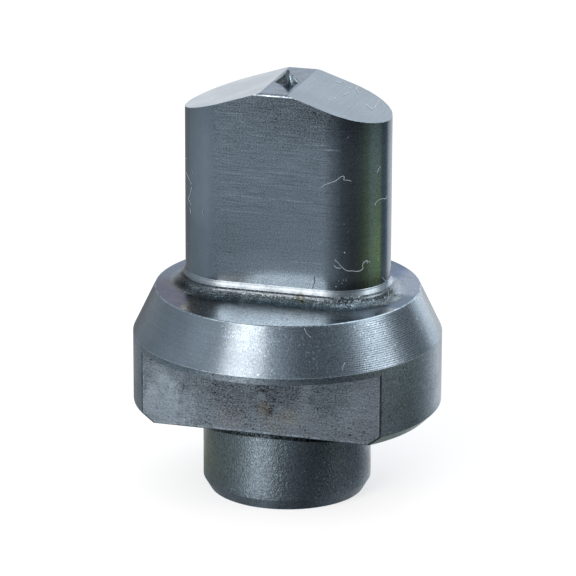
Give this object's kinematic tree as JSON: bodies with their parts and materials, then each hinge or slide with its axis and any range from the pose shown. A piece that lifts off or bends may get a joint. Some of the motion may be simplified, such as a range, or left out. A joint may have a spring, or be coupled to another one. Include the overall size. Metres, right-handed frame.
{
  "type": "nibbler punch",
  "caption": "Steel punch for oblong holes: roof-shaped cutting end with a centring nib, coned collar with spanner flats, and a plain round stub.",
  "frame": {"origin": "middle of the stub's foot, which the punch stands on", "axes": "+Z along the punch towards the cutting end, +X along the oblong head, +Y across its flat sides"},
  "size_m": [0.032, 0.032, 0.0447],
  "materials": {
    "tool_steel": "hardened, ground head and turned collar, thinly oiled"
  },
  "bodies": {
    "root": {"punch": "tool_steel"}
  },
  "joints": []
}
